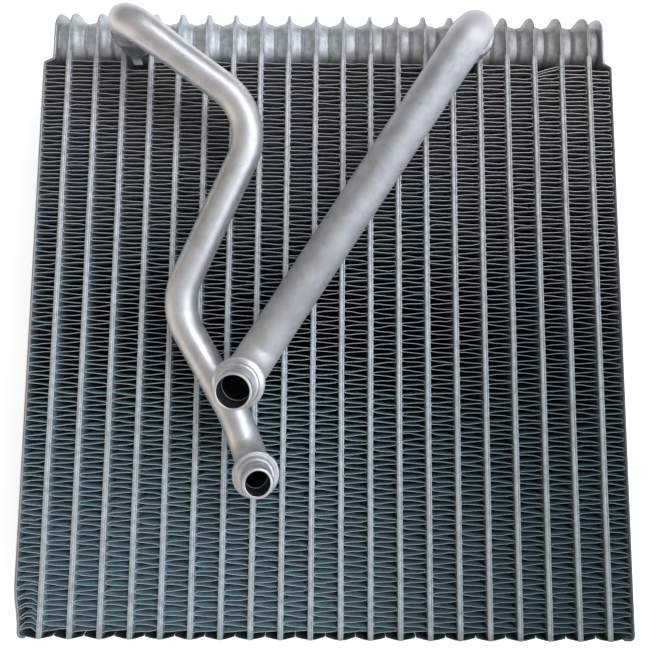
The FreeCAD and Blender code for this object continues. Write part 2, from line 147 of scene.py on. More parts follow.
def bent_line(corners: list[Triple], radii: list[float], arc_step: float = 5.0,
              run_step: float = 6.0) -> tuple[Array, Array]:
    """A tube's centre line: straight runs joined by arcs that touch both of their runs.

    Args:
        corners: the ends and the corners of the runs, in mm.
        radii: the bend radius at each inner corner.
        arc_step: degrees between points in a bend.
        run_step: mm between points on a run.
    Returns:
        The points as (n, 3), and how far each lies inside a bend, 0 on a run and 1 in a bend.
    """
    knots = np.array(corners, float)
    pieces, bent, last = [], [], knots[0]

    def straight(end: Array, closed: bool) -> None:
        """Adds the run from the last point to end, with or without end itself."""
        count = max(2, int(np.linalg.norm(end - last) / run_step) + 1)
        share = np.linspace(0.0, 1.0, count, endpoint=closed)[:, None]
        pieces.append(last + (end - last) * share)
        bent.append(np.zeros(count))

    for index, radius in enumerate(radii, 1):
        here = knots[index]
        before, after = unit(here - knots[index - 1]), unit(knots[index + 1] - here)
        angle = np.arccos(np.clip(before @ after, -1.0, 1.0))
        reach = radius * np.tan(angle / 2.0)
        start = here - before * reach
        inward = unit(after - before * (before @ after))
        straight(start, False)
        turn = np.linspace(0.0, angle, max(4, int(np.degrees(angle) / arc_step)) + 1)[:-1, None]
        pieces.append(start + radius * (before * np.sin(turn) + inward * (1.0 - np.cos(turn))))
        bent.append(np.ones(len(turn)))
        last = here + after * reach
    straight(knots[-1], True)
    return np.concatenate(pieces), np.concatenate(bent)


def full_turn(facets: int) -> Array:
    """The angles of a ring's points, in radians."""
    return np.linspace(0.0, 2.0 * np.pi, facets, endpoint=False)


def turned(profile: list[Pair], origin: Triple, axis: Triple, facets: int = 64) -> Array:
    """A surface of revolution: point = origin + axis * height + radius * (a cos t + b sin t).

    Args:
        profile: (radius, height) of each ring.
        origin: where height is 0.
        axis: the direction of growing height.
        facets: points round each ring.
    Returns:
        The rings as (len(profile), facets, 3).
    """
    along = unit(np.array(axis, float))
    first = unit(np.cross(along, (0.0, 1.0, 0.0)))
    second = np.cross(along, first)
    turn = full_turn(facets)[:, None]
    spoke = np.cos(turn) * first + np.sin(turn) * second
    radius, height = np.array(profile, float).T[:, :, None, None]
    return np.array(origin) + height * along + radius * spoke


def placed(name: str, data: bpy.types.ID) -> bpy.types.Object:
    """A new object of the scene that carries the data."""
    body = bpy.data.objects.new(name, data)
    bpy.context.scene.collection.objects.link(body)
    return body


class Skin:
    """The closed surfaces of one piece, gathered in millimetres and made one mesh."""

    def __init__(self) -> None:
        """Starts with no surface."""
        self.points: list[Array] = []
        self.quads: list[Array] = []
        self.fans: list[Array] = []
        self.marks: list[Array] = []
        self.count = 0

    def closed(self, rings: Array, mark: Array | None = None,
               ring_shaped: bool = False) -> None:
        """Adds a closed surface through rings of points, and turns it outwards.

        Quads join each ring to the next. Both ends are closed by a fan to their middle, or the last
        ring joins the first. Six times the enclosed volume is the sum of a . (b x c) over all
        triangles, and a negative sum turns every face round.

        Args:
            rings: (n, m, 3), where each ring closes on itself.
            mark: a value for each ring or for each point, kept as the attribute "mark".
            ring_shaped: whether the last ring joins the first.
        """
        rows, columns = rings.shape[:2]
        spans = rows if ring_shaped else rows - 1
        row, column = np.meshgrid(np.arange(spans), np.arange(columns), indexing="ij")
        beside, above = (column + 1) % columns, (row + 1) % rows
        quads = np.stack([row * columns + column, row * columns + beside,
                          above * columns + beside, above * columns + column], -1).reshape(-1, 4)
        points = rings.reshape(-1, 3)
        values = np.zeros(rows) if mark is None else mark
        values = values[:, None] if values.ndim == 1 else values
        values = np.broadcast_to(values, (rows, columns)).ravel()
        fans = np.zeros((0, 3), int)
        if not ring_shaped:
            points = np.concatenate([points, rings[:1].mean(1), rings[-1:].mean(1)])
            values = np.concatenate([values, values[:1], values[-1:]])
            around, following = np.arange(columns), (np.arange(columns) + 1) % columns
            top, low = (rows - 1) * columns, rows * columns
            fans = np.concatenate([
                np.stack([following, around, np.full(columns, low)], 1),
                np.stack([around + top, following + top, np.full(columns, low + 1)], 1)])
        triangles = np.concatenate([quads[:, [0, 1, 2]], quads[:, [0, 2, 3]], fans])
        a, b, c = (points[triangles[:, k]] - points.mean(0) for k in range(3))
        if (a * np.cross(b, c)).sum() < 0.0:
            quads, fans = quads[:, ::-1], fans[:, ::-1]
        self.points.append(points)
        self.marks.append(values)
        self.quads.append(quads + self.count)
        self.fans.append(fans + self.count)
        self.count += len(points)

    def piece(self, name: str, finish: Material, slot: Slot, stands_for: tuple[str, ...],
              crease: float = 35.0) -> None:
        """Makes the mesh object at the origin, dresses it and ties it to the frame.

        Args:
            name: the piece's name.
            finish: its material.
            slot: the record's slot; not used.
            stands_for: the CAD nodes it replaces.
            crease: the angle in degrees over which an edge stays sharp.
        """
        points = np.concatenate(self.points) * MM
        quads, fans = np.concatenate(self.quads), np.concatenate(self.fans)
        loops = np.concatenate([quads.ravel(), fans.ravel()]).astype(np.int32)
        totals = np.repeat([4, 3], [len(quads), len(fans)])
        mesh = bpy.data.meshes.new(name)
        mesh.vertices.add(len(points))
        mesh.vertices.foreach_set("co", points.astype(np.float32).ravel())
        mesh.loops.add(len(loops))
        mesh.loops.foreach_set("vertex_index", loops)
        mesh.polygons.add(len(totals))
        mesh.polygons.foreach_set("loop_start", (np.cumsum(totals) - totals).astype(np.int32))
        mesh.polygons.foreach_set("use_smooth", np.ones(len(totals), bool))
        mesh.update(calc_edges=True)
        marks = mesh.attributes.new("mark", "FLOAT", "POINT")
        marks.data.foreach_set("value", np.concatenate(self.marks).astype(np.float32))
        mesh.set_sharp_from_angle(angle=np.radians(crease))
        mesh.materials.append(finish)
        body = placed(name, mesh)
        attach(body, "root")
        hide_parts(*stands_for)
        LOG.info("%s: %d faces", name, len(totals))


# Finishes

def linear(code: str) -> tuple[float, float, float, float]:
    """The linear colour of an sRGB hex code: c/12.92 when dark, else ((c + 0.055)/1.055)^2.4."""
    parts = [int(code[k:k + 2], 16) / 255.0 for k in (1, 3, 5)]
    red, green, blue = (c / 12.92 if c <= 0.04045 else ((c + 0.055) / 1.055) ** 2.4 for c in parts)
    return red, green, blue, 1.0


def per_mm(size: float) -> float:
    """The Scale of a noise texture whose spots are about size mm across."""
    return 1.0 / (size * MM)


def add_node(tree: Tree, kind: str, settings: dict | None = None,
             inputs: dict | None = None) -> bpy.types.Node:
    """Adds a node, with its settings, its values and its links.

    Args:
        tree: the material's or world's node tree.
        kind: the node's type name without "ShaderNode".
        settings: the node's own properties.
        inputs: a socket to link from, an sRGB hex code or a value, for each input's name or number.
    Returns:
        The node.
    """
    node = tree.nodes.new("ShaderNode" + kind)
    for key, value in (settings or {}).items():
        setattr(node, key, value)
    for key, value in (inputs or {}).items():
        if isinstance(value, Socket):
            tree.links.new(value, node.inputs[key])
        else:
            node.inputs[key].default_value = linear(value) if isinstance(value, str) else value
    return node


def coordinates(tree: Tree, space: str = "Object") -> Socket:
    """The coordinates of the point that is shaded."""
    return add_node(tree, "TexCoord").outputs[space]


def axes(tree: Tree, vector: Socket) -> bpy.types.NodeOutputs:
    """The vector's X, Y and Z."""
    return add_node(tree, "SeparateXYZ", {}, {0: vector}).outputs


def mark_of(tree: Tree) -> Socket:
    """The pieces' own attribute "mark"."""
    return add_node(tree, "Attribute", {"attribute_name": "mark"}).outputs["Fac"]


def noise(tree: Tree, vector: Socket, scale: float, detail: float, roughness: float = 0.5,
          distortion: float = 0.0) -> Socket:
    """Soft noise from 0 to 1."""
    return add_node(tree, "TexNoise", {}, {
        "Vector": vector, "Scale": scale, "Detail": detail, "Roughness": roughness,
        "Distortion": distortion}).outputs["Fac"]


def ramp(tree: Tree, value: Socket, start: float, end: float, low: float = 0.0,
         high: float = 1.0, kind: str = "SMOOTHSTEP") -> Socket:
    """The value carried from between start and end to between low and high."""
    return add_node(tree, "MapRange", {"interpolation_type": kind}, {
        "Value": value, "From Min": start, "From Max": end, "To Min": low,
        "To Max": high}).outputs["Result"]


def mix(tree: Tree, share: Socket | float, first: Socket | str, second: Socket | str,
        blend: str = "MIX") -> Socket:
    """Two colours blended, by the share of the second."""
    return add_node(tree, "Mix", {"data_type": "RGBA", "blend_type": blend}, {
        "Factor": share, 6: first, 7: second}).outputs[2]


def maths(tree: Tree, operation: str, *values: Socket | float, clamp: bool = False) -> Socket:
    """The result of a Math node."""
    return add_node(tree, "Math", {"operation": operation, "use_clamp": clamp},
                    dict(enumerate(values))).outputs[0]


@dataclass(frozen=True)
class MetalFinish:
    """A bare aluminium surface: two close tones in soft spots, over fine grain.

    The base for the finishes below, which differ in tone, gloss and the way their grain runs. stain
    holds the tone of dark patches, their size in mm, their share and the noise they start at;
    marked holds the tone of marked points, its share and what they add to the roughness.
    """

    name: str
    tones: tuple[str, str]
    roughness: Pair
    metallic: float
    spot_mm: float
    grain_mm: Triple
    grain_depth_mm: float
    stain: tuple[str, float, float, float]
    marked: tuple[str, float, float]

    def material(self) -> Material:
        """The procedural material, on Object coordinates."""
        material = bpy.data.materials.new(self.name)
        material.use_nodes = True
        tree = material.node_tree
        shader = tree.nodes["Principled BSDF"]
        place = coordinates(tree)
        spots = noise(tree, place, per_mm(self.spot_mm), 4.0, 0.6)
        stain, size, share, start = self.stain
        patches = noise(tree, place, per_mm(size), 5.0, 0.7, 0.6)
        scale = tuple(per_mm(size) for size in self.grain_mm)
        stretched = add_node(tree, "Mapping", {}, {"Vector": place, "Scale": scale}).outputs[0]
        grain = noise(tree, stretched, 1.0, 3.0, 0.65)
        toned = mix(tree, ramp(tree, spots, 0.35, 0.68), *self.tones)
        amount = ramp(tree, patches, start, start + 0.2, 0.0, share)
        colour, rough = self.extra(tree, place, mix(tree, amount, toned, stain),
                                   ramp(tree, grain, 0.3, 0.7, *self.roughness, "LINEAR"))
        relief = add_node(tree, "Bump", {}, {"Height": grain, "Strength": 1.0,
                                             "Distance": self.grain_depth_mm * MM})
        tree.links.new(colour, shader.inputs["Base Color"])
        tree.links.new(rough, shader.inputs["Roughness"])
        tree.links.new(relief.outputs["Normal"], shader.inputs["Normal"])
        shader.inputs["Metallic"].default_value = self.metallic
        return material

    def extra(self, tree: Tree, place: Socket, colour: Socket, rough: Socket,
              tone: Socket | None = None) -> tuple[Socket, Socket]:
        """Blends in the marked tone and gloss. Returns colour and roughness."""
        marked, share, rougher = self.marked
        held = maths(tree, "MULTIPLY", mark_of(tree), 1.0, clamp=True)
        toned = mix(tree, maths(tree, "MULTIPLY", held, share), colour, tone or marked)
        return toned, maths(tree, "MULTIPLY_ADD", held, rougher, rough)


class BoredFinish(MetalFinish):
    """Metal of a piece with a bore, whose wall, marked above 1, is painted dark as shade."""

    def extra(self, tree: Tree, place: Socket, colour: Socket,
              rough: Socket) -> tuple[Socket, Socket]:
        """Adds the bore wall's painted shade to the common marks. Returns colour and roughness."""
        toned, matter = super().extra(tree, place, colour, rough)
        inside = ramp(tree, mark_of(tree), 1.0, 2.0, kind="LINEAR")
        return mix(tree, inside, toned, "#6A6D72"), matter


@dataclass(frozen=True)
class PaintedLightFinish(MetalFinish):
    """Metal tinted by place, in painted light and shade: darker on the right than on the left and,
    on the fin foil, lightest and bluest at the foot on the left. The foil's teal is partly its
    own tone.

    Each pair of tones is for the left and the right. The coat and marked_foot_tints_painted_shade
    apply at the foot, tank_end_tints_painted_shade and the common mark's tone near the tank end.
    """

    foot_tints_painted_light_and_shade: tuple[str, str]
    tank_end_tints_painted_shade: tuple[str, str]
    marked_foot_tints_painted_shade: tuple[str, str]

    def extra(self, tree: Tree, place: Socket, colour: Socket,
              rough: Socket) -> tuple[Socket, Socket]:
        """Paints light and shade in by place. Returns colour and roughness."""
        way = axes(tree, place)
        # down and across are the masks of the painted light and shade: towards the foot and the
        # right.
        down, across = ramp(tree, way["Y"], 0.11, -0.04), ramp(tree, way["X"], -0.03, 0.1)
        high, low, marked_foot_painted_tone = (mix(tree, across, *pair)
                               for pair in (self.tank_end_tints_painted_shade, self.foot_tints_painted_light_and_shade, self.marked_foot_tints_painted_shade))
        lit_and_shaded_colour = mix(tree, 1.0, colour, mix(tree, down, high, low), "MULTIPLY")
        return super().extra(tree, place, lit_and_shaded_colour, rough,
                             mix(tree, down, self.marked[0], marked_foot_painted_tone))


# Brazed clad sheet: the flux and the molten cladding leave it matte, mottled and faintly cold.
# Painted shade darkens it on the right, and its marked foot lips are painted dark as shade.
BRAZED_PLATE = PaintedLightFinish(
    "Brazed clad aluminium plate", ("#DADEE1", "#C3C6C8"), (0.48, 0.64), 0.8, 2.6, (0.5, 3.0, 0.5),
    0.03, ("#8C8886", 5.0, 0.3, 0.52), ("#4F5D62", 1.0, 0.1),
    ("#F6FCFE", "#CED4D4"), ("#FCFCFC", "#D7D3CF"), ("#4F5D62", "#4F5D62"))
# Rolled foil, folded and slit: matte and teal between the walls, with paler cut edges.
# Painted light and shade tint it by place: lighter and bluer at the foot on the left, and darker
# at the tank end and at the foot on the right. Its cut edges are palest at the tank end and
# darkest at the foot on the right.
FOLDED_FOIL = PaintedLightFinish(
    "Rolled aluminium fin foil", ("#E2E5E6", "#C4C8CA"), (0.42, 0.6), 0.2, 3.5, (0.6, 0.3, 1.1),
    0.03, ("#7D7B78", 9.0, 0.3, 0.55), ("#E2E0DF", 0.9, 0.0),
    ("#BCDDE7", "#7B9FAB"), ("#979D9C", "#9A8F91"), ("#CDD7DA", "#8E9A9E"))
# Thicker pressed sheet: flatter and more even than the plates. Its marked cut edges are rougher
# and painted dark as shade, most on the right.
PRESSED_SHEET = MetalFinish(
    "Pressed aluminium end sheet", ("#C6C7C8", "#BBBCBD"), (0.38, 0.55), 0.8, 7.0, (0.6, 3.0, 0.6),
    0.03, ("#8C8886", 14.0, 0.2, 0.58), ("#5C6061", 0.9, 0.2))
# Thin drawn tube: a satin gloss over soft blotches, and a frosted look in its bends, whose paler
# tone is partly a painted highlight.
DRAWN_TUBE = BoredFinish(
    "Drawn aluminium tube", ("#DBDBDC", "#C9C9CA"), (0.33, 0.46), 0.8, 6.0, (0.8, 0.8, 0.8),
    0.03, ("#9C9896", 4.0, 0.45, 0.54), ("#E6E4E2", 0.3, 0.08))
# Wide drawn tube: etched by the wash before brazing, so broader in its gloss than the thin one.
# Its bends are paler, partly as a painted highlight.
ETCHED_TUBE = BoredFinish(
    "Drawn and etched aluminium tube", ("#C9CBCD", "#B7B9BC"), (0.55, 0.67), 0.8, 7.0,
    (0.8, 0.8, 0.8), 0.03, ("#969392", 5.0, 0.4, 0.54), ("#F0EFEE", 0.5, 0.0))
# Turned and formed ends: whiter than the tube, with fine rings left by the tool. Their marked
# rim edges and bore ledges are painted white as highlights.
TURNED_END = BoredFinish(
    "Turned aluminium collar", ("#DFE0E1", "#C9CBCC"), (0.36, 0.52), 0.85, 4.0, (2.0, 2.0, 0.35),
    0.04, ("#8C8887", 6.0, 0.25, 0.55), ("#FFFFFF", 0.3, 0.0))
# Machined block, rough and stained by the braze round it.
BRAZED_BLOCK = MetalFinish(
    "Machined aluminium block, brazed in", ("#B4B9C0", "#868A91"), (0.4, 0.6), 0.85, 2.4,
    (0.7, 0.7, 0.5), 0.12, ("#5A524C", 4.0, 0.4, 0.54), ("#CBD8E6", 0.8, 0.0))
# The same kind of block where the braze ran clean.
CLEAN_BLOCK = MetalFinish(
    "Machined aluminium block, clean", ("#CFD1D4", "#B5B7BA"), (0.4, 0.6), 0.85, 2.4,
    (0.7, 0.7, 0.5), 0.12, ("#8C8886", 4.0, 0.3, 0.54), ("#CBD8E6", 0.8, 0.0))


# The core's pieces

@dataclass
class CoreLayout:
    """The core's common sizes, as in the CAD model."""

    pairs: int = 20
    pitch: float = 12.0
    depth: float = 58.0
    top: float = 132.3
    bottom: float = -132.3
    half_tube: float = 1.15
    corner: float = 11.0
    fold_gap: float = 0.05

    def pair_x(self, number: float) -> float:
        """The middle of plate pair 1 to 20, or with half a number of a gap beside it."""
        return self.pitch * (number - (self.pairs + 1) / 2.0)


@dataclass
class PlatePair:
    """Two stamped plates brazed face to face: a flat tube, a flange, four drawn cups and two lips.

    rim holds (share of the tube's half width, drop below the front face), flange_section and
    cup_profile hold (place in X, inset), and lip_ends (place in Z, share of the thickness).
    """

    layout: CoreLayout
    number: int
    rim: tuple[Pair, ...] = (
        (1.0, 0.55), (0.97, 0.3), (0.88, 0.12), (0.72, 0.03), (0.5, 0.02), (0.38, 0.1), (0.28, 0.2),
        (0.18, 0.08), (0.0, 0.0), (-0.5, 0.0), (-0.74, 0.03), (-0.89, 0.12), (-0.97, 0.3),
        (-1.0, 0.55))
    tube_sway: float = 0.09
    flange_low: float = 107.3
    flange_section: tuple[Pair, ...] = (
        (-0.6, 0.3), (-0.52, 0.08), (-0.36, 0.0), (-0.14, 0.03), (0.0, 0.16), (0.14, 0.03),
        (0.36, 0.0), (0.52, 0.08), (0.6, 0.3))
    cup_low: float = 108.2
    cup_high: float = 128.3
    cup_back: float = 2.5
    cup_front: float = 55.5
    cup_valley: float = 4.5
    cup_profile: tuple[Pair, ...] = (
        (0.4, -2.3), (0.62, -2.25), (0.72, -1.9), (0.92, -1.5), (1.25, -1.08), (1.7, -0.7),
        (2.3, -0.38), (3.0, -0.16), (3.8, 0.0), (4.5, 0.1), (5.0, 0.24), (5.35, 0.5), (5.55, 0.85),
        (5.62, 0.82), (5.68, 0.6), (5.82, 0.52), (5.94, 0.62), (6.0, 0.95))
    lip_reach: float = 5.97
    lip_low: float = -132.05
    lip_rise: float = 1.8
    lip_half: float = 0.22
    lip_sway: float = 0.05
    lip_ends: tuple[Pair, ...] = ((0.0, 0.5), (0.3, 0.85), (1.0, 1.0), (19.0, 1.0), (38.0, 1.0),
                                  (57.0, 1.0), (57.7, 0.85), (58.0, 0.5))

    def build(self, finish: Material) -> None:
        """Makes and dresses the pair."""
        rng = np.random.default_rng(100 + self.number)
        skin, x = Skin(), self.layout.pair_x(self.number)
        skin.closed(self.tube(x, rng))
        skin.closed(self.flange(x))
        for side in Side:
            skin.closed(self.cups(x, side))
            lip = self.lip(x, side, rng)
            # The lips are marked 1, which the plate's finish paints dark as shade.
            skin.closed(lip, np.ones(len(lip)))
        skin.piece(f"plate_pair_{self.number:02d}", finish, Slot.PLATE,
                   (f"tube_{self.number:02d}",), 40.0)

    def tube(self, x: float, rng: np.random.Generator) -> Array:
        """The flat tube: its section, carried along Y.

        The section is a flat rim with round edges and a shallow crease right of its middle, where
        the two sheets meet; x scales down to the flange at the tank end.
        """
        depth, bottom, mid = self.layout.depth, self.layout.bottom, self.layout.depth / 2.0
        share, drop = np.array(self.rim).T
        section_x = self.layout.half_tube * np.concatenate([share, -share])
        section_z = np.concatenate([depth - drop, drop])
        along = np.concatenate([[bottom, bottom + 0.25], np.linspace(bottom + 4.0, 106.0, 36),
                                [108.0, 109.4, 110.4, 111.2, 111.8, 112.1]])
        width, inset = np.ones(len(along)), np.zeros(len(along))
        ends = [0, -3, -2, -1]
        width[ends], inset[ends] = (0.85, 0.96, 0.76, 0.4), (0.2, 0.1, 0.3, 0.9)
        sway = softened(rng.normal(0.0, self.tube_sway, len(along) + 4))
        return spread(x + section_x * width[:, None] + sway[:, None], along[:, None],
                      mid + (section_z - mid) * (1.0 - inset[:, None] / mid))

    def flange(self, x: float) -> Array:
        """The flange: its outline in YZ, carried across X with rounded rims and a shallow seam."""
        top, depth, corner = self.layout.top, self.layout.depth, self.layout.corner
        across, inset = np.array(self.flange_section).T
        outline = inset_outlines([(self.flange_low, 0.0, 0.8), (top, 0.0, corner),
                                  (top, depth, corner), (self.flange_low, depth, 0.8)], 8, inset)
        return spread(x + across[:, None], outline[..., 0], outline[..., 1])

    def cups(self, x: float, side: Side) -> Array:
        """One side's two drawn cups: the outline of both, moved inwards by the profile's offset.

        point = outline - normal * offset(x), with the outline half round at front and back and a
        valley at the tank end between the two rows. The fillet to the flange, where the offset is
        below 0, grows with the room towards the tank end: offset * (1 + 0.6 * normal's Y).
        """
        low, high, valley = self.cup_low, self.cup_high, self.cup_valley
        mid = self.layout.depth / 2.0
        points, normals = rounded_outline([
            (low, self.cup_back, 8.0), (high, self.cup_back, 9.0), (high, mid - valley, 4.0),
            (high - valley, mid, 3.0), (high, mid + valley, 4.0), (high, self.cup_front, 9.0),
            (low, self.cup_front, 8.0)], 7)
        across, offset = np.array(self.cup_profile).T[:, :, None]
        room = 1.0 + 0.6 * np.clip(normals[:, 0], 0.0, 1.0) * (offset < 0.0)
        outline = points - normals * (offset * room)[..., None]
        return spread(x + side.value * across, outline[..., 0], outline[..., 1])

    def lip(self, x: float, side: Side, rng: np.random.Generator) -> Array:
        """One turned-out lip at the foot: a thin curved strip, its section carried along Z."""
        reach = np.linspace(self.layout.half_tube - 0.4, self.lip_reach, 8)
        share = (reach - reach[0]) / (reach[-1] - reach[0])
        middle = self.lip_low + self.lip_rise * share ** 1.6
        half = self.lip_half * np.sqrt(np.clip(1.0 - np.abs(2.0 * share - 1.0) ** 6, 0.05, 1.0))
        section = np.concatenate([np.stack([reach, middle + half], 1),
                                  np.stack([reach, middle - half], 1)[::-1]])
        along, shrink = np.array(self.lip_ends).T
        centre = section.mean(0)
        shaped = centre + (section - centre) * np.stack([0.9 + 0.1 * shrink, shrink], 1)[:, None]
        y = shaped[..., 1] + rng.normal(0.0, self.lip_sway, len(along))[:, None]
        return spread(x + side.value * shaped[..., 0], np.maximum(y, self.layout.bottom),
                      along[:, None])


@dataclass
class FinShape:
    """The room of one folded fin, and what is bent in it: its side, first folds and lowest legs."""

    number: int
    centre: float
    half_room: float
    high: float = 107.6
    low: float = -130.2
    pinch: float = 0.0
    first_drop: float = 0.0
    crush: float = 0.0

    def shift(self, y: Array) -> Array:
        """How far the dent moves the fin's middle, and takes from half its room, at y."""
        return 0.5 * self.pinch * below(y, *DENT)


@dataclass
class FoldedFin:
    """A strip of foil folded between two walls, leg after leg.

    Each scatter is a standard deviation in mm. stretch holds a mean and a deviation, and tilt its
    amount in mm at the tank end and what the foot adds; tilt_from and crush_from are (top, run).
    """

    shape: FinShape
    sheet: float = 0.19
    leg_pitch: float = 1.86
    back: float = 0.6
    front: float = 57.0
    corner: float = 0.42
    inner_share: float = 0.36
    stretch: Pair = (0.03, 0.025)
    tilt: Pair = (0.25, 0.5)
    tilt_from: Pair = (60.0, 70.0)
    tilt_scatter: float = 0.15
    pitch_scatter: float = 0.09
    bow_scatter: Pair = (0.1, 0.07)
    lean_scatter: float = 0.13
    crush_from: Pair = (-108.0, 12.0)

    def centre_line(self, rng: np.random.Generator) -> tuple[Array, Array]:
        """The folded line in XY, and the number of the leg that each point belongs to.

        Leg j lies at high - length * (u - stretch * sin(pi u) / pi) with u = (j + 1/2) / count, so
        the pitch grows a little towards the foot. Its two ends are moved by half its tilt, up and
        down in turn, so that neighbours close up at one wall and open at the other, and each end
        turns into the wall by a quarter circle. Two points between them bow up or down.
        """
        fin = self.shape
        count = int(round((fin.high - fin.low) / self.leg_pitch))
        index = np.arange(count)
        share = (index + 0.5) / count
        stretch = np.clip(rng.normal(*self.stretch), -0.01, 0.07)
        y = fin.high - (fin.high - fin.low) * (share - stretch * np.sin(np.pi * share) / np.pi)
        even = index % 2 == 0
        tilt = self.tilt[0] + self.tilt[1] * below(y, *self.tilt_from)
        tilt = np.clip(tilt + rng.normal(0.0, self.tilt_scatter, count), 0.0, 1.0)
        y = y + rng.normal(0.0, self.pitch_scatter, count)
        half_tilt = np.where(even, 0.5, -0.5) * tilt
        left = y + half_tilt - fin.first_drop * np.clip(1.0 - index / 4.0, 0.0, 1.0)
        left, right = -np.sort(-left), -np.sort(half_tilt - y)
        start_y, end_y = np.where(even, (left, right), (right, left))[..., None]
        turn = np.linspace(0.0, np.pi / 2.0, 3)
        into, away = self.corner * np.sin(turn), self.corner * (1.0 - np.cos(turn))
        shift, onward = fin.shift(y)[:, None], np.where(even, 1.0, -1.0)[:, None]
        half = fin.half_room - shift - self.sheet / 2.0
        bow = (rng.normal(0.0, self.bow_scatter[0], (count, 2))
               + rng.normal(0.0, self.bow_scatter[1], (count, 1)))
        crushed = below(y, *self.crush_from) * rng.uniform(0.7, 1.2, count)
        bow += fin.crush * crushed[:, None]
        inner = np.array([1.0, -1.0]) * self.inner_share
        line_x = [shift - onward * (half - self.corner + into[::-1]), shift - onward * half * inner,
                  shift + onward * (half - self.corner + into)]
        line_y = [start_y + away[::-1],
                  (start_y + end_y) / 2.0 + (start_y - end_y) / 2.0 * inner + bow, end_y - away]
        line = np.stack([np.concatenate(line_x, 1), np.concatenate(line_y, 1)], -1)
        return line.reshape(-1, 2), np.repeat(index, line.shape[1])

    def build(self, finish: Material) -> None:
        """Makes and dresses the fin: the folded line with its thickness, carried along Z.

        Near the front each leg leans up or down between its walls. The front edge is marked.
        """
        fin = self.shape
        rng = np.random.default_rng(500 + fin.number)
        line, leg = self.centre_line(rng)
        depth = np.array([self.back, 38.0, 54.0, self.front - 0.22, self.front])
        bend = np.array([0.0, 0.0, 0.12, 0.9, 1.0])
        lean = rng.normal(0.0, self.lean_scatter, leg.max() + 1)
        shift = fin.shift(line[:, 1])
        off_middle = np.abs(line[:, 0] - shift) / (fin.half_room - shift)
        moved = (lean[leg] * np.clip(1.0 - off_middle ** 4, 0.0, 1.0))[:, None] * bend
        thick = self.sheet / 2.0 * side_normals(line)
        there, back = line + thick, line - thick
        rings = np.concatenate([
            spread(fin.centre + there[:, :1], there[:, 1:] + moved, depth),
            spread(fin.centre + back[:, :1], back[:, 1:] + moved[:, ::-1], depth[::-1])], 1)
        bare = np.repeat([0.0, 1.0, 0.0], [len(depth) - 1, 2, len(depth) - 1])
        skin = Skin()
        skin.closed(rings, np.broadcast_to(bare, rings.shape[:2]))
        skin.piece(f"folded_fin_{fin.number:02d}", finish, Slot.FIN,
                   (f"fin_{fin.number:02d}",), 50.0)


@dataclass
class EndPlate:
    """The bent sheet that closes one side: beside the cups, out past the tank end, in at the foot.

    tank_mid and core_mid are the sheet's middle beside the cups and beside the fins. joggle and
    edge_shade_from are (top, run) in Y, and dullness is the front edge's mark below
    edge_shade_from, which roughens the edge and paints shade on it.
    """

    side: Side
    layout: CoreLayout
    core_mid: float
    pinch: float
    edge_shade_and_roughness: float
    tank_mid: float = 120.55
    sheet: float = 1.1
    joggle: Pair = (108.3, 2.6)
    foot_bend: float = 1.5
    foot_end: float = 119.75
    edge_round: float = 0.35
    edge_reach: float = 0.9
    setback: float = 0.5
    edge_shade_from: Pair = (110.0, 4.0)

    def build(self, finish: Material) -> None:
        """Makes and dresses the plate: a path in XY with its thickness, as wide in Z as the core.

        The sheet's section across the path is a slim bar with a half round at each end, from the
        back to the front; its ends follow the round corners at the tank end.
        """
        top, bottom, half = self.layout.top, self.layout.bottom + 0.02, self.sheet / 2.0
        down = np.concatenate([np.linspace(top, 110.0, 14), np.linspace(109.0, 105.0, 11),
                               np.linspace(101.0, -108.0, 20), np.linspace(DENT[0], -129.5, 6)])
        across = self.tank_mid + (self.core_mid - self.tank_mid) * below(down, *self.joggle)
        across = across - self.pinch * below(down, *DENT)
        turn = np.linspace(0.0, np.pi / 2.0, 7)
        foot_x = across[-1] - self.foot_bend * (1.0 - np.cos(turn))
        foot_y = bottom + half + self.foot_bend * (1.0 - np.sin(turn))
        path = np.concatenate([np.stack([across, down], 1), np.stack([foot_x, foot_y], 1),
                               [[self.foot_end, bottom + half]]])
        path[:, 0] *= self.side.value
        radius = self.layout.corner
        over = np.clip(path[:, 1] - (top - radius), 0.0, radius)
        cut = (radius - np.sqrt(np.clip(radius ** 2 - over ** 2, 0.0, None)))[:, None]
        edge = np.radians(np.linspace(0.0, 180.0, 7))
        bar_off = half * np.concatenate([[1.0], np.cos(edge), [-1.0]])[:, None]
        bar_z = np.pad(self.edge_round * (np.sin(edge) - 1.0), 1, constant_values=-self.edge_reach)
        middle, moved = path[:, None], side_normals(path)[:, None] * bar_off
        flat = np.concatenate([middle + moved, middle - moved], 1)
        rings = spread(flat[..., 0], np.minimum(flat[..., 1], top), np.concatenate([
            self.layout.depth - self.setback - cut + bar_z, cut - bar_z], 1))
        # The front edge below edge_shade_from gets the mark dullness, which its finish paints dark
        # as shade.
        shaded_edge = np.zeros(rings.shape[:2])
        shaded_edge[:, 1:len(edge) + 1] = self.edge_shade_and_roughness * below(path[:, 1:], *self.edge_shade_from)
        skin, name = Skin(), self.side.name.lower()
        skin.closed(rings, shaded_edge)
        skin.piece(f"side_sheet_{name}", finish, Slot.END_PLATE, (f"end_plate_{name}",), 40.0)


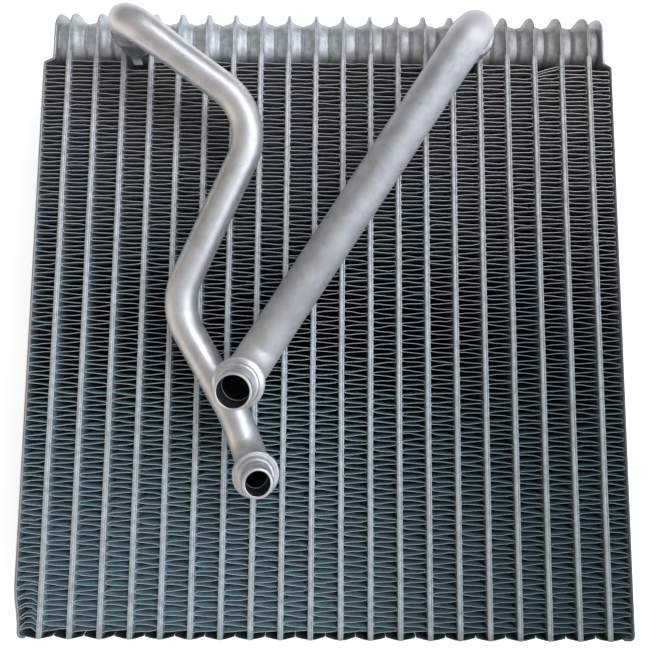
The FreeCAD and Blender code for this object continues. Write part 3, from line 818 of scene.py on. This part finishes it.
@dataclass
class NozzleBlock:
    """The block brazed between two flanges, with a sleeve round its pipe and a locating tongue."""

    name: str
    x: float
    pipe_radius: float
    sleeve_height: float
    port_y: float = 115.1
    sleeve_wall: float = 2.0
    half_width: float = 4.55
    half_length: float = 5.7
    sleeve_low: float = 58.3

    def slab(self, corners: list[Triple], edges: tuple[Pair, ...]) -> Array:
        """A rounded outline in XY round the block's x, at each edge's (height, inset)."""
        level, inset = np.array(edges).T
        outline = inset_outlines(corners, 4, inset)
        return spread(outline[..., 0] + self.x, outline[..., 1], level[:, None])

    def shank(self) -> Array:
        """The shank: a rounded oblong, its top edge broken."""
        half, length = self.half_width, self.half_length
        low, high = self.port_y - length, self.port_y + length
        return self.slab(
            [(-half, low, 1.0), (half, low, 1.0), (half, high, 1.0), (-half, high, 1.0)],
            ((55.5, 0.0), (57.9, 0.0), (58.2, 0.1), (58.35, 0.35)))

    def sleeve(self) -> Array:
        """The sleeve: a turned tube whose outside is uneven, radius + sum of two slow waves."""
        outer, inner = self.pipe_radius + self.sleeve_wall, self.pipe_radius + 0.05
        top = self.sleeve_height
        profile = [(inner, 1.3), (inner, top - 0.5), (inner + 0.3, top - 0.12), (inner + 0.7, top),
                   (outer - 0.9, top - 0.05), (outer - 0.35, top - 0.35), (outer - 0.1, top - 1.0),
                   (outer - 0.2, top - 2.4), (outer - 0.05, top - 3.4), (outer - 0.4, top - 4.6),
                   (outer - 1.0, 5.0), (outer - 1.2, 2.4), (outer - 1.0, 1.2), (outer - 0.8, 0.4),
                   (outer - 1.1, 0.0), (inner, 0.0)]
        rings = turned(profile, (self.x, self.port_y, self.sleeve_low), (0.0, 0.0, 1.0))
        turn = full_turn(rings.shape[1])
        radius, level = np.array(profile).T[:, :, None]
        wave = 0.12 * np.sin(3.0 * turn + 0.9 * level) + 0.08 * np.sin(7.0 * turn - level) - 0.2
        outside = (radius > outer - 1.25) * wave
        rings[..., :2] += (rings[..., :2] - (self.x, self.port_y)) / outer * outside[..., None]
        return rings

    def bead(self) -> Array:
        """The weld bead between the sleeve and the pipe: a thin ring, higher and lower in waves."""
        turn = full_turn(10)
        section = np.stack([self.pipe_radius + 0.3 + 0.6 * np.cos(turn),
                            self.sleeve_height + 0.5 * np.sin(turn)], 1)
        rings = turned(section, (self.x, self.port_y, self.sleeve_low), (0.0, 0.0, 1.0))
        rings[..., 2] += 0.14 * np.sin(5.0 * full_turn(rings.shape[1])) - 0.1
        return rings

    def tongue(self) -> Array:
        """The tongue below the shank: a slanted strip with broken edges."""
        end, left, width, slant = self.port_y - self.half_length, -3.3, 3.9, 1.8
        root, tip, low = end + 0.8, end - 4.0, left + slant
        return self.slab([(low, tip, 0.5), (low + width, tip, 0.5), (left + width, root, 0.2),
                          (left, root, 0.2)],
                         ((56.4, 0.12), (56.5, 0.0), (57.1, 0.0), (57.2, 0.12)))

    def build(self, finish: Material) -> None:
        """Makes and dresses the block."""
        skin, tongue = Skin(), self.tongue()
        skin.closed(self.shank())
        skin.closed(self.sleeve(), ring_shaped=True)
        skin.closed(self.bead(), ring_shaped=True)
        skin.closed(tongue, np.ones(len(tongue)))
        skin.piece(f"{self.name}_nozzle_block", finish, Slot.BOSS, (f"{self.name}_boss",))


@dataclass
class BentPipe:
    """One tube across the front, and the formed end that stands open at the connector.

    swell is the share by which the first bend is fuller: it starts and grows by swell_from, and
    ends after it shrank by swell_until, both as (place, run) in mm along the centre line.
    """

    name: str
    radius: float
    bore: float
    collar: float
    ring: float
    nose: float
    corners: list[Triple]
    bends: list[float]
    axis: Triple
    conical: bool = False
    swell: float = 0.0
    swell_from: Pair = (4.0, 8.0)
    swell_until: Pair = (44.0, 20.0)
    ovality: float = 0.012
    overlap: float = 0.6
    wall: float = 1.2
    facets: int = 56
    rim: float = 13.6
    bore_depth: float = 10.0

    def run(self) -> tuple[Array, Array]:
        """The tube: point = line(s) + radius * (a(s) cos t + b(s) sin t), out and back inside.

        a is X made square to the line's direction, and b is square to both. The rings of the outer
        face are followed by those of the inner face, a wall's thickness less, from the open end
        back to the start. Returns the rings, and the mark of each: the share of bending outside,
        2 inside.
        """
        line, bent = bent_line(self.corners, self.bends)
        line = np.concatenate([line, line[-1:] + self.overlap * np.array(self.axis)])
        bent = np.concatenate([bent, [0.0]])
        along = unit(np.gradient(line, axis=0))
        first = unit(np.array([1.0, 0.0, 0.0]) - along * along[:, :1])
        second = np.cross(along, first)
        turn = full_turn(self.facets)[:, None]
        soft = softened(np.pad(bent, 2, mode="edge"))
        gone = np.cumsum(np.linalg.norm(np.diff(line, axis=0, prepend=line[:1]), axis=1))
        start, run = self.swell_from
        fuller = self.swell * smooth_step((gone - start) / run) * below(gone, *self.swell_until)
        oval = 1.0 + fuller[:, None] + self.ovality * soft[:, None] * np.cos(2.0 * turn[:, 0])
        spoke = first[:, None] * np.cos(turn) + second[:, None] * np.sin(turn)
        outer = line[:, None] + self.radius * oval[..., None] * spoke
        inner = line[:, None] + (self.radius - self.wall) * spoke
        # The finish paints the bent share paler, partly as a highlight, and the inside (2) dark as
        # shade.
        return np.concatenate([outer, inner[::-1]]), np.append(soft, np.full(len(soft), 2.0))

    def formed_end(self) -> tuple[Array, Array]:
        """The formed end: collar, second ring or cone, nose and bore, turned about the end's axis.

        Returns the rings, and the mark of each: 0 outside, 1 on the rim's edge and on the ledge
        where the bore ends, both painted white as highlights, and 2 in the bore, painted dark as
        shade.
        """
        collar, ring, nose, bore = self.collar, self.ring, self.nose, self.bore
        rim, deep, inner = self.rim, self.rim - self.bore_depth, self.radius - self.wall + 0.05
        foot = [(self.radius - 0.3, -0.5), (self.radius + 0.25, 0.0), (collar - 0.8, 0.05),
                (collar - 0.3, 0.2), (collar, 0.7), (collar, 1.2), (collar - 0.14, 1.34),
                (collar - 0.02, 1.5)]
        face = [(collar, 1.9), (collar - 0.25, 2.45), (collar - 0.6, 2.65), (ring + 0.75, 2.6),
                (ring + 0.3, 2.7), (ring + 0.05, 2.95), (ring, 3.3), (ring - 0.05, 3.8),
                (ring - 0.3, 4.3), (ring - 0.65, 4.55), (nose + 0.35, 4.6), (nose + 0.1, 4.8)]
        stem = [(nose, 5.3)]
        if self.conical:
            share = np.linspace(0.0, 1.0, 19)
            groove = np.where(np.arange(19) % 2 == 0, 0.0, -0.16) * (share < 0.75)
            face = list(zip(collar - 0.1 - share * (collar - nose - 0.9) + groove,
                            1.6 + 3.0 * share ** 1.25))
            face += [(nose + 0.45, 4.75), (nose + 0.2, 5.0)]
            for level in (6.2, 7.7, 9.2, 10.7):
                stem += [(nose, level), (nose - 0.14, level + 0.15), (nose - 0.14, level + 0.35),
                         (nose, level + 0.5)]
        stem += [(nose, 11.9), (nose - 0.12, 12.6), (nose - 0.3, 13.2)]
        edge = [(nose - 0.5, 13.5), (nose - 0.7, rim), (bore + 0.25, rim), (bore + 0.08, rim - 0.1)]
        well = [(bore, rim - 0.45), (bore, deep + 0.35)]
        ledge = [(bore - 0.02, deep + 0.31), (bore - 0.24, deep + 0.1)]
        rest = [(bore - 0.25, deep), (bore - 0.2, deep - 0.4), (inner, deep - 0.9), (inner, -1.0),
                (self.radius - 0.3, -1.2)]
        parts = (foot + face + stem, edge, well, ledge, rest)
        # In the finish, marks 1 become painted highlights and marks 2 painted shade.
        mark = np.repeat([0.0, 1.0, 2.0, 1.0, 2.0], [len(part) for part in parts])
        return turned(sum(parts, []), self.corners[-1], self.axis), mark

    def build(self, tube_finish: Material, end_finish: Material) -> None:
        """Makes and dresses the tube and its end."""
        for (rings, mark), label, finish, crease in (
                (self.run(), "tube", tube_finish, 35.0),
                (self.formed_end(), "formed_end", end_finish, 30.0)):
            skin = Skin()
            skin.closed(rings, mark, ring_shaped=True)
            skin.piece(f"{self.name}_{label}", finish, Slot.PIPE, (f"{self.name}_pipe",), crease)


# Studio

@dataclass
class Studio:
    """The floor, the soft lights and the camera that stand in for the photographer's.

    Lights hold name, place and size in metres, watts and colour. The camera's angles are degrees
    and its eye is in mm. The floor does not glow within shade, in metres to each side.
    """

    image: tuple[int, int] = (648, 661)
    focal_px: float = 672.19
    centre_px: Pair = (324.0, 252.74)
    tilt: float = 6.399
    swing: float = -0.349
    roll: float = 0.456
    eye: Triple = (-3.49, -8.60, 340.97)
    sensor: float = 36.0
    lights: tuple[tuple[str, Triple, float, float, str], ...] = (
        ("side_window", (2.7, -0.1, 1.8), 2.2, 36.0, "#EAF1FF"),
        ("tank_window", (0.75, 0.7, 1.55), 0.8, 9.5, "#F4F8FF"),
        ("wall_bounce", (-1.6, -0.6, 0.6), 1.2, 4.5, "#FFF0E4"))
    aim: Triple = (0.0, 0.0, 0.03)
    sky: Pair = (0.42, 0.76)
    sky_tones: tuple[str, str] = ("#BBB3AB", "#F0F6FF")
    past_tank: float = 0.6
    floor_tones: tuple[str, str] = ("#FAFAFA", "#F7F8F9")
    glow: float = 0.5
    shade: Pair = (0.119, 0.127)

    def floor(self) -> None:
        """A plain pale floor that glows faintly, as if lit through, but not in the core's shade."""
        half, low = 1.6, -0.0002
        mesh = bpy.data.meshes.new("floor")
        mesh.from_pydata([(-half, -half, low), (half, -half, low), (half, half, low),
                          (-half, half, low)], [], [(0, 1, 2, 3)])
        material = bpy.data.materials.new("Matte white painted board")
        material.use_nodes = True
        tree = material.node_tree
        shader = tree.nodes["Principled BSDF"]
        place = coordinates(tree)
        tone = mix(tree, noise(tree, place, per_mm(60.0), 2.0), *self.floor_tones)
        tree.links.new(tone, shader.inputs["Base Color"])
        shader.inputs["Roughness"].default_value = 0.9
        shader.inputs["Emission Color"].default_value = (1.0, 1.0, 1.0, 1.0)
        way = axes(tree, place)
        outside = maths(tree, "MAXIMUM", *(
            maths(tree, "GREATER_THAN", maths(tree, "ABSOLUTE", way[axis]), reach)
            for axis, reach in zip("XY", self.shade)))
        glow = maths(tree, "MULTIPLY", outside, self.glow)
        tree.links.new(glow, shader.inputs["Emission Strength"])
        mesh.materials.append(material)
        floor = placed("floor", mesh)

    def world(self) -> None:
        """A pale surround: brighter overhead, cooler and brighter at right, dim past the tank."""
        world = bpy.data.worlds.new("studio")
        world.use_nodes = True
        tree = world.node_tree
        background = tree.nodes["Background"]
        way = axes(tree, coordinates(tree, "Generated"))
        tone = mix(tree, ramp(tree, way["X"], -0.8, 0.8, kind="LINEAR"), *self.sky_tones)
        height = ramp(tree, way["Z"], -0.1, 0.95, *self.sky)
        past = ramp(tree, way["Y"], 0.0, 0.9, 1.0, self.past_tank)
        tree.links.new(tone, background.inputs["Color"])
        tree.links.new(maths(tree, "MULTIPLY", height, past), background.inputs["Strength"])
        bpy.context.scene.world = world

    def soft_lights(self) -> None:
        """Square panels that face the middle of the core."""
        for name, place, size, power, colour in self.lights:
            data = bpy.data.lights.new(name, "AREA")
            data.size, data.energy, data.color = size, power, linear(colour)[:3]
            light = placed(name, data)
            facing = (Vector(self.aim) - Vector(place)).to_track_quat("-Z", "Y")
            light.matrix_world = Matrix.Translation(place) @ facing.to_matrix().to_4x4()

    def camera(self) -> None:
        """The camera: its back axis from tilt and swing, turned by the roll about that axis."""
        tilt, swing, roll = np.radians([self.tilt, self.swing, self.roll])
        back = np.array([np.sin(swing), -np.sin(tilt) * np.cos(swing),
                         np.cos(tilt) * np.cos(swing)])
        right = unit(np.cross((0.0, 1.0, 0.0), back))
        above = np.cross(back, right)
        data = bpy.data.cameras.new("camera")
        longer = max(self.image)
        data.sensor_width, data.lens = self.sensor, self.sensor * self.focal_px / longer
        data.shift_x = (self.image[0] / 2.0 - self.centre_px[0]) / longer
        data.shift_y = (self.centre_px[1] - self.image[1] / 2.0) / longer
        data.clip_start, data.clip_end = 0.01, 20.0
        camera = placed("camera", data)
        pose = np.eye(4)
        pose[:3] = np.stack([right * np.cos(roll) + above * np.sin(roll),
                             above * np.cos(roll) - right * np.sin(roll), back,
                             np.array(self.eye) * MM], 1)
        camera.matrix_world = Matrix(pose.tolist())
        bpy.context.scene.camera = camera

    def build(self) -> None:
        """Sets up the whole studio, shown without a film-like curve."""
        bpy.context.scene.view_settings.view_transform = "Standard"
        self.camera()
        self.floor()
        self.world()
        self.soft_lights()


def fin_shapes(layout: CoreLayout) -> list[FinShape]:
    """The room of each of the 21 fins, from the left to the right."""
    left_wall, right_wall, port_high, side_high = -123.9, 122.9, 103.9, 105.4
    half, gap = layout.half_tube, layout.fold_gap
    shapes = [FinShape(number, layout.pair_x(number - 0.5), layout.pitch / 2.0 - half - gap)
              for number in range(1, layout.pairs + 2)]
    for number in (4, 16):
        shapes[number - 1].high = port_high
    shapes[18].first_drop = 3.0
    first, last = layout.pair_x(1) - half - gap, layout.pair_x(layout.pairs) + half + gap
    shapes[0] = FinShape(1, (left_wall + first) / 2.0, (first - left_wall) / 2.0, side_high,
                         pinch=2.0, crush=1.2)
    shapes[-1] = FinShape(21, (right_wall + last) / 2.0, (right_wall - last) / 2.0, side_high)
    return shapes


def main() -> None:
    logging.basicConfig(level=logging.INFO, format="%(name)s: %(message)s")
    Studio().build()
    layout = CoreLayout()
    plate, foil, sheet, end = (finish.material() for finish in (
        BRAZED_PLATE, FOLDED_FOIL, PRESSED_SHEET, TURNED_END))
    for number in range(1, layout.pairs + 1):
        PlatePair(layout, number).build(plate)
    for shape in fin_shapes(layout):
        FoldedFin(shape).build(foil)
    # The right sheet's front edge is painted darker as shade than the left's.
    EndPlate(Side.LEFT, layout, core_mid=124.5, pinch=2.0, edge_shade_and_roughness=0.4).build(sheet)
    EndPlate(Side.RIGHT, layout, core_mid=123.5, pinch=0.0, edge_shade_and_roughness=1.0).build(sheet)
    NozzleBlock("inlet", -84.0, 6.35, 13.5).build(BRAZED_BLOCK.material())
    NozzleBlock("outlet", 60.0, 7.95, 11.0).build(CLEAN_BLOCK.material())
    BentPipe("inlet", radius=6.35, bore=4.4, collar=8.7, ring=6.9, nose=5.75, corners=[
        (-84.0, 115.1, 67.8), (-84.0, 115.1, 88.6), (-27.2, 76.3, 76.5), (-62.1, 0.0, 69.5),
        (-37.4, -41.9, 67.25), (-29.4, -61.2, 67.25), (-26.667, -62.195, 84.507)],
        bends=[11.0, 23.5, 23.5, 60.0, 13.5], axis=(0.156181, -0.056858, 0.986091),
        swell=0.08).build(DRAWN_TUBE.material(), end)
    BentPipe("outlet", radius=7.95, bore=5.9, collar=9.85, ring=8.6, nose=7.1, corners=[
        (60.0, 115.1, 65.3), (60.0, 115.1, 84.8), (-32.288, -25.957, 71.35),
        (-33.02, -28.76, 88.101)],
        bends=[13.0, 13.5], axis=(-0.043022, -0.164895, 0.985372),
        conical=True).build(ETCHED_TUBE.material(), end)


if __name__ == "__main__":
    main()
